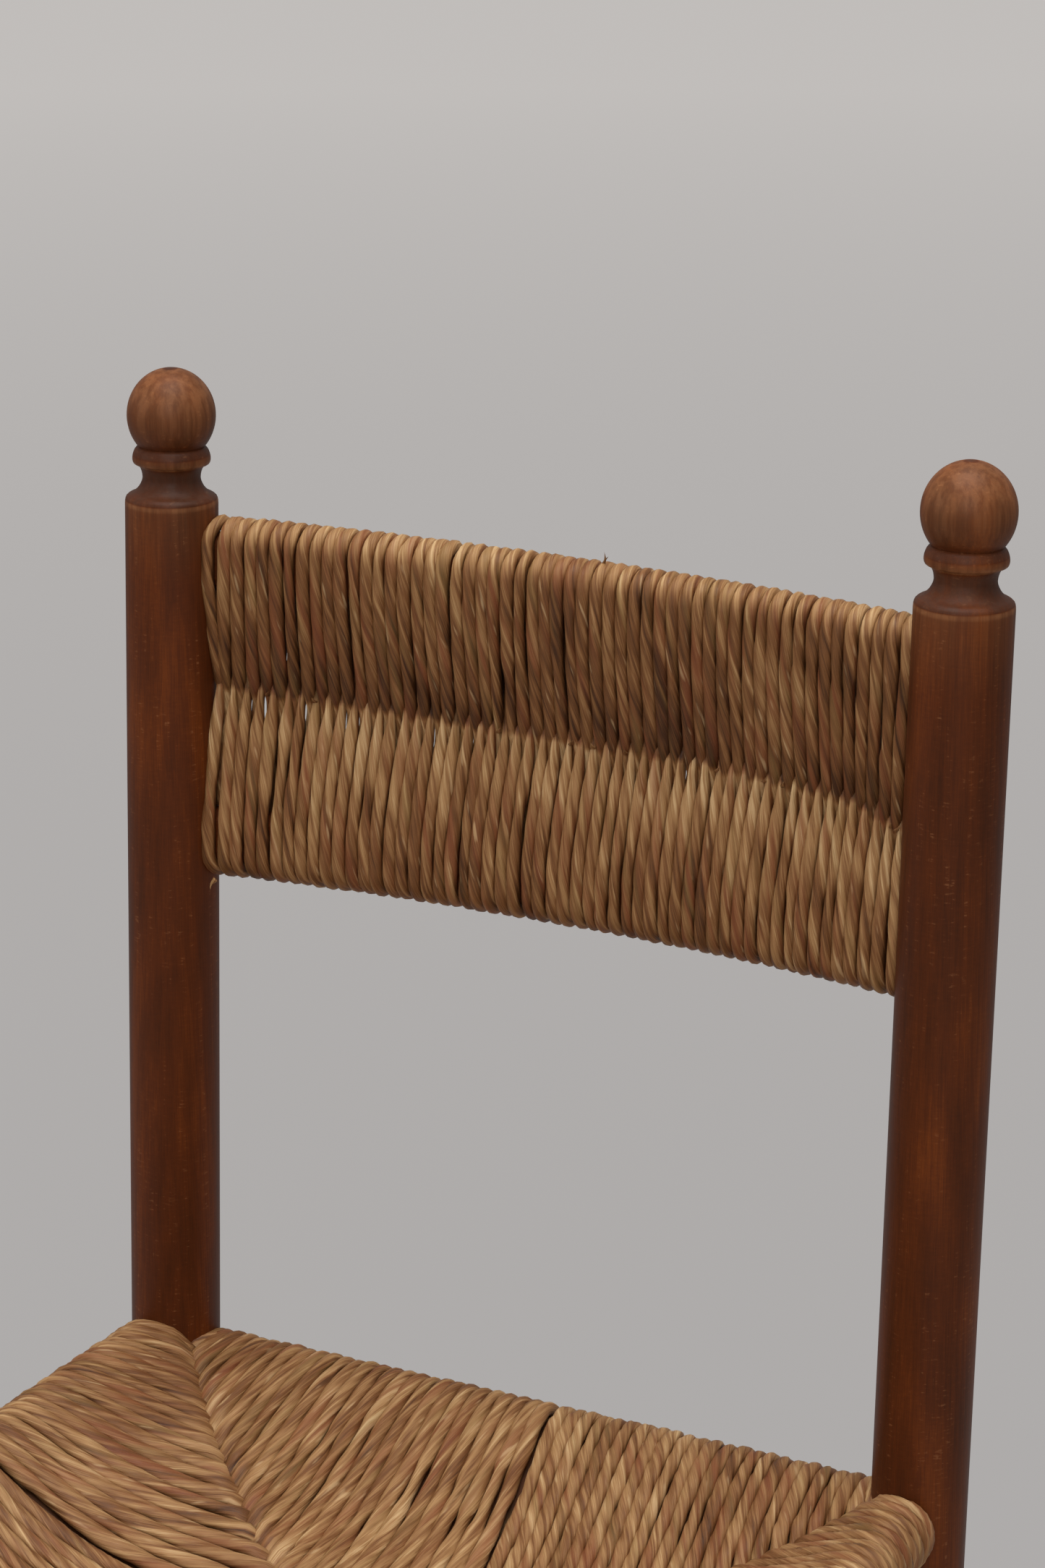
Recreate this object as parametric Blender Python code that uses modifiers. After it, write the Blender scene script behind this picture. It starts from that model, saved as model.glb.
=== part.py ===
# A rush-seated side chair in turned, stained beech.
# Two raked back posts end in ball finials and two front legs in low domes.
# Round seat rails carry a dished rush seat in four mitred sections, and the
# back is rush wound as a figure eight round two bowed slats.
# Metres, +Z up, the front of the chair towards -Y, the floor at z = 0.

import math

import bmesh
import bpy
import numpy as np
from mathutils import Matrix, Vector

# Overall frame
overall_height = 0.855
back_post_spacing = 0.3456
front_leg_spacing = 0.370
seat_depth = 0.345
rake_angle = math.radians(2.34)
post_radius = 0.019

# Fits between pieces
clearance = 0.0003
cut_overrun = 0.004
weld_distance = 0.00001
crease_angle = math.radians(32)

# Finial on a back post, measured up from the shoulder
finial_height = 0.0525
ball_radius = 0.01804
ball_half_height = 0.01926
ball_foot_radius = 0.0135
collar_radius = 0.0159
collar_edge_radius = 0.0150
collar_edge_height = 0.0133
neck_radius = 0.0118
shoulder_round = 0.003
# Each pair is a share of the height up to the collar's edge and a share of
# the way out from the neck, to the post below it and to the collar above it.
cove_below_shares = ((0.0, 0.87), (0.05, 0.80), (0.11, 0.54), (0.20, 0.32), (0.30, 0.19), (0.56, 0.0))
cove_above_shares = ((0.88, 0.30), (0.95, 0.52))
# Each pair is a share of the way up the collar and of its bulge past the edge.
collar_shares = ((0.0, 0.0), (0.22, 0.85), (0.45, 1.0), (0.75, 0.35))

# Front leg and foot; the leg stands a little above the rails that it carries
front_leg_rise = 0.0375
dome_height = 0.007
foot_round = 0.0015

# Round seat rails
rail_radius = 0.0095
tenon_radius = 0.0065
tenon_depth = 0.012
rail_taper = 0.009
rail_shoulder_gap = 0.002
end_rail_height = 0.4245
side_rail_rise = 0.011

# Turned stretchers
stretcher_radius = 0.010
stretcher_collar = 0.004
upper_side_stretcher_height = 0.262
lower_side_stretcher_height = 0.132
upper_front_stretcher_height = 0.292
lower_front_stretcher_height = 0.160
back_stretcher_height = 0.205
# Shares of a stretcher's bare length, and of its swell from tenon to middle.
swell_shares = ((0.06, 0.26), (0.15, 0.52), (0.27, 0.78), (0.39, 0.95), (0.5, 1.0))

# Bowed back slats, set down the posts from their tops
upper_slat_drop = 0.0777
slat_spacing = 0.1164
slat_width = 0.024
slat_thickness = 0.010
slat_bow = 0.017
slat_tenon_depth = 0.012

# Rush of the back panel, wound as a figure eight that crosses above the lower slat
crossing_rise = 0.0594
strand_width = 0.0113
strand_thickness = 0.0056
waist_share = 0.45
upper_turns = 24

# Rush of the seat, whose middle is dished below the end rails' centre line
rush_radius = 0.015
seat_middle_drop = 0.010
seat_middle_thickness = 0.020
side_dish_reach = 0.047
end_dish_reach = 0.062
side_dish_power_share = 1.4
end_dish_power_share = 1.9
dish_shares = (0.045, 0.10, 0.155, 0.215, 0.285, 0.37, 0.48, 0.63, 0.81, 1.02)

# Facets
post_steps = 24
rung_steps = 16
ball_steps = 9
dome_steps = 4
bend_steps = 6
strand_sides = 8
slat_runs = 12
slat_edge_steps = 6
roll_steps = 10

# Places that follow from the sizes
half_back = back_post_spacing / 2
half_front = front_leg_spacing / 2
rake_slope = math.tan(rake_angle)
post_length = overall_height / math.cos(rake_angle)
shoulder_height = post_length - finial_height
upper_slat_height = post_length - upper_slat_drop
lower_slat_height = upper_slat_height - slat_spacing
crossing_height = lower_slat_height + crossing_rise
front_leg_height = end_rail_height + front_leg_rise
side_rail_height = end_rail_height + side_rail_rise
seat_middle_top = end_rail_height - seat_middle_drop
seat_middle_bottom = seat_middle_top - seat_middle_thickness
back_line = end_rail_height * rake_slope
front_line = back_line - seat_depth
seat_joint_depth = post_radius - tenon_depth
bend_radius = slat_thickness / 2 + clearance + strand_thickness / 2
bend_radius = bend_radius / math.cos(math.pi / bend_steps / 2)
slat_straight = (slat_width - slat_thickness) / 2
bow_radius = (half_back ** 2 + slat_bow ** 2) / (2 * slat_bow)
rearmost = (upper_slat_height * math.sin(rake_angle)
            + (slat_bow + bend_radius + strand_thickness / 2) * math.cos(rake_angle))
foremost = front_line - post_radius
middle_line = (front_line + half_front + back_line - half_back) / 2


def make_material(name, colour, roughness):
    material = bpy.data.materials.new(name)
    material.use_nodes = True
    shader = material.node_tree.nodes["Principled BSDF"]
    shader.inputs["Base Color"].default_value = (*colour, 1.0)
    shader.inputs["Roughness"].default_value = roughness
    shader.inputs["Metallic"].default_value = 0.0
    material.diffuse_color = (*colour, 1.0)
    return material


def add_empty(name, parent, location):
    empty = bpy.data.objects.new(name, None)
    parts.objects.link(empty)
    empty.parent = parent
    empty.location = location
    return empty


def add_piece(name, mesh, parent, colour, roughness):
    piece = bpy.data.objects.new(name, mesh)
    parts.objects.link(piece)
    piece.parent = parent
    mesh.materials.clear()
    mesh.materials.append(make_material(name + "_finish", colour, roughness))
    return piece


def add_cutter(name, mesh, parent):
    cutter = bpy.data.objects.new(name, mesh)
    cutters.objects.link(cutter)
    cutter.parent = parent
    cutter.hide_render = True
    cutter.display_type = "WIRE"
    return cutter


# The welded mesh of an object as its modifiers or bevel make it, smooth
# except at its creases. The object itself is removed.
def take_mesh(source, name):
    bpy.context.view_layer.update()
    evaluated = source.evaluated_get(bpy.context.evaluated_depsgraph_get())
    mesh = bpy.data.meshes.new_from_object(evaluated)
    mesh.name = name
    mesh.transform(source.matrix_world)
    bpy.data.objects.remove(source)
    finish_mesh(mesh)
    return mesh


def finish_mesh(mesh):
    shape = bmesh.new()
    shape.from_mesh(mesh)
    bmesh.ops.remove_doubles(shape, verts=shape.verts, dist=weld_distance)
    bmesh.ops.recalc_face_normals(shape, faces=shape.faces)
    shape.to_mesh(mesh)
    shape.free()
    mesh.shade_smooth()
    mesh.set_sharp_from_angle(angle=crease_angle)


# A solid turned round Z from radius and height pairs that run downwards.
def turn_mesh(name, profile, steps):
    outline = bpy.data.meshes.new(name + "_profile")
    edges = [(index, index + 1) for index in range(len(profile) - 1)]
    outline.from_pydata([(radius, 0, height) for radius, height in profile], edges, [])
    turned = bpy.data.objects.new(name + "_profile", outline)
    cutters.objects.link(turned)
    screw = turned.modifiers.new("Turning", "SCREW")
    screw.axis = "Z"
    screw.steps = steps
    screw.render_steps = steps
    screw.use_merge_vertices = True
    screw.merge_threshold = weld_distance
    return take_mesh(turned, name)


def add_outline(name, points):
    outline = bpy.data.curves.new(name, "CURVE")
    outline.dimensions = "2D"
    spline = outline.splines.new("POLY")
    spline.points.add(len(points) - 1)
    for point, (x, y) in zip(spline.points, points):
        point.co = (x, y, 0, 1)
    spline.use_cyclic_u = True
    return outline


# A bar of a closed section swept along a path. The section's Y side keeps
# to the curve's upward direction, and radii scale it at each point.
def sweep_mesh(name, section, path, radii, turn):
    guide = bpy.data.objects.new(name + "_section", add_outline(name + "_section", section))
    cutters.objects.link(guide)
    guide.hide_render = True
    guide.display_type = "WIRE"
    curve = bpy.data.curves.new(name, "CURVE")
    curve.dimensions = "3D"
    curve.twist_mode = "Z_UP"
    curve.bevel_mode = "OBJECT"
    curve.bevel_object = guide
    curve.use_fill_caps = True
    spline = curve.splines.new("POLY")
    spline.points.add(len(path) - 1)
    for point, place, radius in zip(spline.points, path, radii):
        point.co = (*place, 1)
        point.radius = radius
    bar = bpy.data.objects.new(name, curve)
    cutters.objects.link(bar)
    bar.matrix_world = turn
    mesh = take_mesh(bar, name)
    bpy.data.objects.remove(guide)
    return mesh


def add_boolean(piece, cutter):
    boolean = piece.modifiers.new(cutter.name, "BOOLEAN")
    boolean.operation = "DIFFERENCE"
    boolean.solver = "EXACT"
    boolean.object = cutter


def add_cylinder_cutter(name, start, end, radius, parent, steps):
    run = end - start
    shape = bmesh.new()
    bmesh.ops.create_cone(
        shape, cap_ends=True, segments=steps, radius1=radius, radius2=radius, depth=run.length)
    mesh = bpy.data.meshes.new(name)
    shape.to_mesh(mesh)
    shape.free()
    cutter = add_cutter(name, mesh, parent)
    cutter.location = (start + end) / 2
    cutter.rotation_euler = run.to_track_quat("Z", "Y").to_euler()
    return cutter


# Removes what lies past a plane and closes the cut.
def trim_mesh(mesh, point, normal):
    shape = bmesh.new()
    shape.from_mesh(mesh)
    bmesh.ops.bisect_plane(
        shape, geom=shape.verts[:] + shape.edges[:] + shape.faces[:],
        plane_co=point, plane_no=normal, clear_outer=True)
    open_edges = [edge for edge in shape.edges if edge.is_boundary]
    bmesh.ops.holes_fill(shape, edges=open_edges)
    shape.to_mesh(mesh)
    shape.free()


# The back posts' axis at a height over the floor, in the chair's frame.
def back_axis(side, height):
    return Vector((side * half_back, height * rake_slope, height))


def front_axis(side, height):
    return Vector((side * half_front, front_line, height))


# The depth of the bow at a distance from the middle of the back.
def bow_depth(x):
    return math.sqrt(bow_radius ** 2 - x ** 2) - (bow_radius - slat_bow)


def post_profile():
    profile = []
    ball_middle = shoulder_height + finial_height - ball_half_height
    foot_angle = -math.acos(ball_foot_radius / ball_radius)
    for index in range(ball_steps + 1):
        angle = math.pi / 2 + (foot_angle - math.pi / 2) * index / ball_steps
        radius = ball_radius * math.cos(angle)
        profile.append((max(radius, 0), ball_middle + ball_half_height * math.sin(angle)))
    profile[0] = (0, profile[0][1])
    collar_foot = shoulder_height + collar_edge_height
    collar_rise = profile[-1][1] - collar_foot
    for rise_share, bulge_share in reversed(collar_shares):
        radius = collar_edge_radius + (collar_radius - collar_edge_radius) * bulge_share
        profile.append((radius, collar_foot + collar_rise * rise_share))
    for rise_share, out_share in reversed(cove_above_shares):
        radius = neck_radius + (collar_edge_radius - neck_radius) * out_share
        profile.append((radius, shoulder_height + collar_edge_height * rise_share))
    for rise_share, out_share in reversed(cove_below_shares):
        radius = neck_radius + (post_radius - neck_radius) * out_share
        profile.append((radius, shoulder_height + collar_edge_height * rise_share))
    ledge_radius = profile[-1][0]
    for index in (1, 2, 3):
        angle = math.pi / 2 * index / 3
        radius = ledge_radius + (post_radius - ledge_radius) * math.sin(angle)
        profile.append((radius, shoulder_height - shoulder_round * (1 - math.cos(angle))))
    profile.append((post_radius, -cut_overrun))
    profile.append((0, -cut_overrun))
    return profile


def leg_profile():
    profile = []
    for index in range(dome_steps + 1):
        angle = math.pi / 2 * (1 - index / dome_steps)
        radius = post_radius * math.cos(angle)
        profile.append((radius, front_leg_height - dome_height * (1 - math.sin(angle))))
    profile[0] = (0, front_leg_height)
    profile.append((post_radius, foot_round))
    profile.append((post_radius - foot_round, 0))
    profile.append((0, 0))
    return profile


# A seat rail has a short taper down to the tenon at each end.
def rail_profile(length):
    bare = tenon_depth + rail_shoulder_gap
    profile = [(0, length), (tenon_radius, length), (tenon_radius, length - bare)]
    profile.append((rail_radius, length - bare - rail_taper))
    profile.append((rail_radius, bare + rail_taper))
    profile += [(tenon_radius, bare), (tenon_radius, 0), (0, 0)]
    return profile


# A stretcher swells from its tenons to the middle.
def stretcher_profile(length):
    bare = tenon_depth + stretcher_collar
    swell = stretcher_radius - tenon_radius
    rise = [(tenon_radius + swell * out, bare + (length - 2 * bare) * along)
            for along, out in swell_shares]
    lower = [(0, 0), (tenon_radius, 0), (tenon_radius, bare)] + rise
    upper = [(radius, length - height) for radius, height in lower]
    return upper + lower[-2::-1]


# A rung runs between the axes of two uprights and ends in their sockets.
def add_rung(name, start, end, make_profile, colour):
    run = (end - start).normalized()
    length = (end - start).length - 2 * seat_joint_depth
    mesh = turn_mesh(name, make_profile(length), rung_steps)
    rung = add_piece(name, mesh, chair, colour, wood_roughness)
    rung.location = start + run * seat_joint_depth
    rung.rotation_euler = run.to_track_quat("Z", "Y").to_euler()
    sockets = []
    for place, away in ((start, run), (end, -run)):
        bottom = place + away * (seat_joint_depth - clearance)
        mouth = place + away * (post_radius + cut_overrun)
        sockets.append(add_cylinder_cutter(
            name + "_socket", bottom, mouth, tenon_radius + clearance, chair, rung_steps))
    return sockets


# The flat oval of a slat, grown on every side for its mortise.
def slat_section(growth):
    radius = slat_thickness / 2 + growth
    section = []
    for middle, first in ((slat_straight, 0), (-slat_straight, math.pi)):
        for index in range(slat_edge_steps + 1):
            angle = first + math.pi * index / slat_edge_steps
            section.append((radius * math.cos(angle), middle + radius * math.sin(angle)))
    return section


def slat_mesh(name, height, growth):
    reach = half_back - post_radius + slat_tenon_depth + growth
    path = []
    for index in range(slat_runs + 1):
        x = -reach + 2 * reach * index / slat_runs
        path.append((x, bow_depth(x), height))
    return sweep_mesh(name, slat_section(growth), path, [1] * len(path), Matrix())


# Half a turn of the winding, square to the slats: from the waist up the front
# of the upper slat and down its back, or the same under the lower slat.
def half_turn(slat_height, up):
    points = [(0, crossing_height, waist_share)]
    points.append((-bend_radius, slat_height - up * slat_straight, 1))
    for index in range(bend_steps + 1):
        angle = math.pi - math.pi * index / bend_steps
        rise = up * (slat_straight + bend_radius * math.sin(angle))
        points.append((bend_radius * math.cos(angle), slat_height + rise, 1))
    points.append((bend_radius, slat_height - up * slat_straight, 1))
    return points


# The whole strand, from the lower slat's upper edge through all the turns and
# back to that edge. It moves on across the back in step with its length.
def winding_points():
    upper = half_turn(upper_slat_height, 1)
    lower = half_turn(lower_slat_height, -1)
    tuck = (0, lower_slat_height + slat_width / 2 + clearance, waist_share)
    waist = (0, crossing_height, waist_share)
    turns = []
    for index in range(upper_turns):
        turns += upper
        if index < upper_turns - 1:
            turns += lower
    turns.append(waist)
    lengths = [0]
    for (y0, z0, _), (y1, z1, _) in zip(turns, turns[1:]):
        lengths.append(lengths[-1] + math.hypot(y1 - y0, z1 - z0))
    reach = half_back - post_radius - clearance - strand_width / 2
    across = [-reach + 2 * reach * length / lengths[-1] for length in lengths]
    points = [(x, y + bow_depth(x), z, share) for x, (y, z, share) in zip(across, turns)]
    ends = [(x, tuck[0] + bow_depth(x), tuck[1], tuck[2]) for x in (-reach, reach)]
    return [ends[0]] + points + [ends[1]]


# The least gap from strand to strand, with the flat oval section taken at
# points along the strand and each pair held apart by its best plane.
def winding_gap(points):
    finer = 5
    centres = []
    shares = []
    for first, second in zip(points, points[1:]):
        for index in range(finer):
            mix = index / finer
            centres.append([a + (b - a) * mix for a, b in zip(first[:3], second[:3])])
            shares.append(first[3] + (second[3] - first[3]) * mix)
    centres = np.array(centres)
    shares = np.array(shares)[:, None]
    tangents = np.gradient(centres, axis=0)
    tangents /= np.linalg.norm(tangents, axis=1, keepdims=True)
    wide = np.array([1.0, 0.0, 0.0]) - tangents * tangents[:, :1]
    wide /= np.linalg.norm(wide, axis=1, keepdims=True)
    thick = np.cross(tangents, wide)
    half_width = shares * strand_width / 2
    half_thickness = shares * strand_thickness / 2
    steps = np.linalg.norm(np.diff(centres, axis=0), axis=1)
    travelled = np.concatenate(([0], np.cumsum(steps)))
    least = overall_height
    for index in range(len(centres)):
        past = travelled > travelled[index] + math.pi * bend_radius
        if not past.any():
            break
        apart = centres[past] - centres[index]
        along_wide = apart @ wide[index] / (half_width[index] + half_width[past, 0]) ** 2
        along_thick = apart @ thick[index] / (half_thickness[index] + half_thickness[past, 0]) ** 2
        best = along_wide[:, None] * wide[index] + along_thick[:, None] * thick[index]
        gaps = []
        for axes in (apart, best):
            axes = axes / np.maximum(np.linalg.norm(axes, axis=1, keepdims=True), weld_distance)
            own = np.hypot(axes @ wide[index] * half_width[index],
                           axes @ thick[index] * half_thickness[index])
            other = np.hypot((axes * wide[past]).sum(axis=1) * half_width[past, 0],
                             (axes * thick[past]).sum(axis=1) * half_thickness[past, 0])
            gaps.append((apart * axes).sum(axis=1) - own - other)
        least = min(least, np.maximum(gaps[0], gaps[1]).min())
    return least


# How far the dish has fallen at a distance inside its rail, from 0 to 1.
def dish_fall(distance, reach, power):
    return 1 - math.exp(-(distance / reach) ** power)


# A seat section's outline across its rail: the roll round the rail, then the
# dished top and underside running in to the middle of the seat.
def rush_outline(rail_height, span, reach, power):
    outline = []
    for index in range(roll_steps + 1):
        angle = -math.pi / 2 - math.pi * index / roll_steps
        outline.append((rush_radius * math.cos(angle), rail_height + rush_radius * math.sin(angle)))
    falls = [(span * share, dish_fall(span * share, reach, power)) for share in dish_shares]
    roll_top = rail_height + rush_radius
    roll_bottom = rail_height - rush_radius
    for distance, fall in falls:
        outline.append((distance, roll_top + (seat_middle_top - roll_top) * fall))
    for distance, fall in reversed(falls):
        outline.append((distance, roll_bottom + (seat_middle_bottom - roll_bottom) * fall))
    return outline


# A seat section between two uprights, bored for its rail, cut back to the
# mitres and the middle line, and hollowed where the uprights stand.
def add_rush_section(name, start, end, inward, outline, trims, uprights):
    up = Vector((0, 0, 1))
    along = inward.cross(up)
    curve = add_outline(name, outline)
    curve.fill_mode = "BOTH"
    curve.extrude = (end - start).length / 2
    bar = bpy.data.objects.new(name, curve)
    cutters.objects.link(bar)
    turn = Matrix((inward, up, along)).transposed().to_4x4()
    middle = (start + end) / 2
    turn.translation = Vector((middle.x, middle.y, 0))
    bar.matrix_world = turn
    mesh = take_mesh(bar, name)
    for point, normal in trims:
        trim_mesh(mesh, point, normal)
    finish_mesh(mesh)
    section = add_piece(name, mesh, chair, rush_colour, rush_roughness)
    run = (end - start).normalized()
    bore = add_cylinder_cutter(
        name + "_bore", start - run * cut_overrun, end + run * cut_overrun,
        rail_radius + clearance, chair, rung_steps)
    add_boolean(section, bore)
    for upright in uprights:
        add_boolean(section, upright)
    return section


for old in list(bpy.data.objects):
    bpy.data.objects.remove(old)

parts = bpy.data.collections.new("rush_seated_chair")
cutters = bpy.data.collections.new("cutters")
bpy.context.scene.collection.children.link(parts)
bpy.context.scene.collection.children.link(cutters)

wood_colour = (0.185, 0.058, 0.024)
rail_colour = (0.30, 0.17, 0.085)
rush_colour = (0.36, 0.235, 0.105)
wood_roughness = 0.34
rush_roughness = 0.72

# The chair's frame puts the middle of its footprint at the world origin, and
# the back's frame leans with the posts from the line of their feet.
chair = add_empty("chair_frame", None, (0, -(rearmost + foremost) / 2, 0))
back = add_empty("back_frame", chair, (0, 0, 0))
back.rotation_euler = (-rake_angle, 0, 0)

# Posts and legs
post_mesh = turn_mesh("back_post", post_profile(), post_steps)
leg_mesh = turn_mesh("front_leg", leg_profile(), post_steps)
back_posts = {}
front_legs = {}
for side, word in ((-1, "left"), (1, "right")):
    back_posts[side] = add_piece(
        word + "_back_post", post_mesh.copy(), back, wood_colour, wood_roughness)
    back_posts[side].location = (side * half_back, 0, 0)
    front_legs[side] = add_piece(
        word + "_front_leg", leg_mesh.copy(), chair, wood_colour, wood_roughness)
    front_legs[side].location = front_axis(side, 0)

# The floor cuts the raked posts' feet level.
floor_shape = bmesh.new()
bmesh.ops.create_cube(floor_shape, size=1)
floor_size = Vector((2 * back_post_spacing, 4 * post_radius, 2 * cut_overrun))
bmesh.ops.scale(floor_shape, verts=floor_shape.verts, vec=floor_size)
floor_mesh = bpy.data.meshes.new("floor_cut")
floor_shape.to_mesh(floor_mesh)
floor_shape.free()
floor_cut = add_cutter("floor_cut", floor_mesh, chair)
floor_cut.location = (0, 0, -cut_overrun)

# Bowed slats and their mortises
slats = (("upper_back_slat", upper_slat_height), ("lower_back_slat", lower_slat_height))
mortises = []
for name, height in slats:
    add_piece(name, slat_mesh(name, height, 0), back, rail_colour, wood_roughness)
    mortises.append(add_cutter(name + "_mortise", slat_mesh(name + "_mortise", height, clearance), back))
for post in back_posts.values():
    add_boolean(post, floor_cut)
    for mortise in mortises:
        add_boolean(post, mortise)

# Seat rails and stretchers, from upright to upright
side_rungs = (
    ("seat_rail", side_rail_height, rail_profile, rail_colour),
    ("upper_stretcher", upper_side_stretcher_height, stretcher_profile, wood_colour),
    ("lower_stretcher", lower_side_stretcher_height, stretcher_profile, wood_colour))
for side, word in ((-1, "left"), (1, "right")):
    for kind, height, make_profile, colour in side_rungs:
        sockets = add_rung(word + "_" + kind, back_axis(side, height), front_axis(side, height),
                           make_profile, colour)
        add_boolean(back_posts[side], sockets[0])
        add_boolean(front_legs[side], sockets[1])
cross_rungs = (
    ("back_seat_rail", back_axis, back_posts, end_rail_height, rail_profile, rail_colour),
    ("back_stretcher", back_axis, back_posts, back_stretcher_height, stretcher_profile, wood_colour),
    ("front_seat_rail", front_axis, front_legs, end_rail_height, rail_profile, rail_colour),
    ("upper_front_stretcher", front_axis, front_legs, upper_front_stretcher_height,
     stretcher_profile, wood_colour),
    ("lower_front_stretcher", front_axis, front_legs, lower_front_stretcher_height,
     stretcher_profile, wood_colour))
for name, axis, uprights, height, make_profile, colour in cross_rungs:
    sockets = add_rung(name, axis(-1, height), axis(1, height), make_profile, colour)
    add_boolean(uprights[-1], sockets[0])
    add_boolean(uprights[1], sockets[1])

# Rush wound round the slats. The strand is swept with the chair's X as its
# upward direction, so that its wide side lies along the slats.
strand_section = []
for index in range(strand_sides):
    angle = 2 * math.pi * (index + 1 / 2) / strand_sides
    strand_section.append((strand_thickness / 2 * math.cos(angle), strand_width / 2 * math.sin(angle)))
strand = winding_points()
swept_to_back = Matrix(((0, 0, 1), (1, 0, 0), (0, 1, 0))).to_4x4()
panel_mesh = sweep_mesh("back_panel_rush", strand_section, [(y, z, x) for x, y, z, _ in strand],
                        [share for _, _, _, share in strand], swept_to_back)
add_piece("back_panel_rush", panel_mesh, back, rush_colour, rush_roughness)
print("back_panel_rush turns", upper_turns, "least gap in mm", round(winding_gap(strand) * 1000, 3))

# Rush seat in four sections that meet on mitres running in from the uprights
seat_low = seat_middle_bottom - rush_radius
seat_high = side_rail_height + 2 * rush_radius
post_cuts = {}
leg_cuts = {}
mitres = {}
for side, word in ((-1, "left"), (1, "right")):
    post_cuts[side] = add_cylinder_cutter(
        word + "_post_cut", back_axis(side, seat_low), back_axis(side, seat_high),
        post_radius + clearance, chair, post_steps)
    leg_cuts[side] = add_cylinder_cutter(
        word + "_leg_cut", front_axis(side, seat_low), front_axis(side, seat_high),
        post_radius + clearance, chair, post_steps)
    mitres[side, "back"] = (Vector((side * half_back, back_line, 0)), Vector((-side, 1, 0)).normalized())
    mitres[side, "front"] = (Vector((side * half_front, front_line, 0)), Vector((-side, -1, 0)).normalized())
middles = {"back": (Vector((0, middle_line, 0)), Vector((0, -1, 0))),
           "front": (Vector((0, middle_line, 0)), Vector((0, 1, 0)))}

# The section stays behind a plane, short of it by half the clearance.
def trim_before(plane, facing):
    point, normal = plane
    return point - normal * facing * clearance / 2, normal * facing


end_outline = rush_outline(end_rail_height, half_front, end_dish_reach, end_dish_power_share)
side_outline = rush_outline(side_rail_height, half_front, side_dish_reach, side_dish_power_share)
ends = (("back", back_axis, post_cuts, Vector((0, -1, 0))),
        ("front", front_axis, leg_cuts, Vector((0, 1, 0))))
for word, axis, uprights, inward in ends:
    trims = [trim_before(mitres[side, word], -1) for side in (-1, 1)]
    trims.append(trim_before(middles[word], 1))
    add_rush_section("seat_rush_" + word, axis(-1, end_rail_height), axis(1, end_rail_height),
                     inward, end_outline, trims, uprights.values())
for side, word in ((-1, "left"), (1, "right")):
    start = back_axis(side, side_rail_height)
    end = front_axis(side, side_rail_height)
    inward = Vector((0, 0, 1)).cross(end - start).normalized() * -side
    trims = [trim_before(mitres[side, place], 1) for place in ("back", "front")]
    add_rush_section("seat_rush_" + word, start, end, inward, side_outline, trims,
                     (post_cuts[side], leg_cuts[side]))
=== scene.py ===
import math

import bpy
import numpy as np
from mathutils import Matrix, Vector


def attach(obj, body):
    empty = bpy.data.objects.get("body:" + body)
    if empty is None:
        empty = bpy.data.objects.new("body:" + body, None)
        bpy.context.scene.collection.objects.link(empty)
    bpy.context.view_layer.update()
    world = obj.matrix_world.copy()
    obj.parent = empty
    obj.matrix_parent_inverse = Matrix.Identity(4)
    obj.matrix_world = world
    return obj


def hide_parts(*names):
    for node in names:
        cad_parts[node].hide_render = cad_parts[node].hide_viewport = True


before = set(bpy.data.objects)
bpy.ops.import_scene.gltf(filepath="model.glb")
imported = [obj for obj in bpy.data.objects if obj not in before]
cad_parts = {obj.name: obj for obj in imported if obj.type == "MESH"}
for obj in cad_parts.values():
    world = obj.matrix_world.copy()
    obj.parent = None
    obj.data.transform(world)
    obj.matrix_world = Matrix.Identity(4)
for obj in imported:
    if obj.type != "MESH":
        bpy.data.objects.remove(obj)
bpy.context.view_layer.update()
# One stream of random values: the order of the draws is part of the look
randomValues = np.random.default_rng(7)
print("frame loaded")

# Sizes in metres, as the solids have them
chair = {
    "overallHeight": 0.855,
    "postRadius": 0.019,
    "halfBack": 0.1728,  # from the middle to a back post's axis
    "halfFront": 0.185,  # from the middle to a front leg's axis
    "rake": math.radians(2.34),
    "backFootY": 0.143424,
    "frontLegY": -0.184229,
    "legHeight": 0.462,
    "endRailHeight": 0.4245,
    "sideRailHeight": 0.4355,
    "middleLineY": -0.00563,  # where the seat's back and front sections meet
}
rakeSlope = math.tan(chair["rake"])


def backAxis(side, height):
    return Vector((side * chair["halfBack"], chair["backFootY"] + height * rakeSlope, height))


def frontAxis(side, height):
    return Vector((side * chair["halfFront"], chair["frontLegY"], height))


# Leans the back: turns a place on an upright back into its place on the raked one
backTurn = (Matrix.Translation((0, chair["backFootY"], 0))
            @ Matrix.Rotation(-chair["rake"], 4, "X"))


# Materials

# An sRGB hex colour as the linear values that Blender works with
def hexColour(text):
    channels = [int(text[i:i + 2], 16) / 255 for i in (1, 3, 5)]
    linear = [c / 12.92 if c <= 0.04045 else ((c + 0.055) / 1.055) ** 2.4 for c in channels]
    return (*linear, 1.0)


# Adds a node, sets its properties, and sets or links its inputs
def addNode(tree, kind, inputs=None, **settings):
    node = tree.nodes.new(kind)
    for name, value in settings.items():
        setattr(node, name, value)
    for key, value in (inputs or {}).items():
        if isinstance(value, bpy.types.NodeSocket):
            tree.links.new(value, node.inputs[key])
        else:
            node.inputs[key].default_value = value
    return node


def addMath(tree, operation, *values, clamp=False):
    return addNode(tree, "ShaderNodeMath", dict(enumerate(values)), operation=operation,
                   use_clamp=clamp).outputs[0]


# Adds each part times its weight to the total
def addWeighted(tree, total, parts):
    for part, weight in parts:
        total = addMath(tree, "MULTIPLY_ADD", part, weight, total)
    return total


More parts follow.
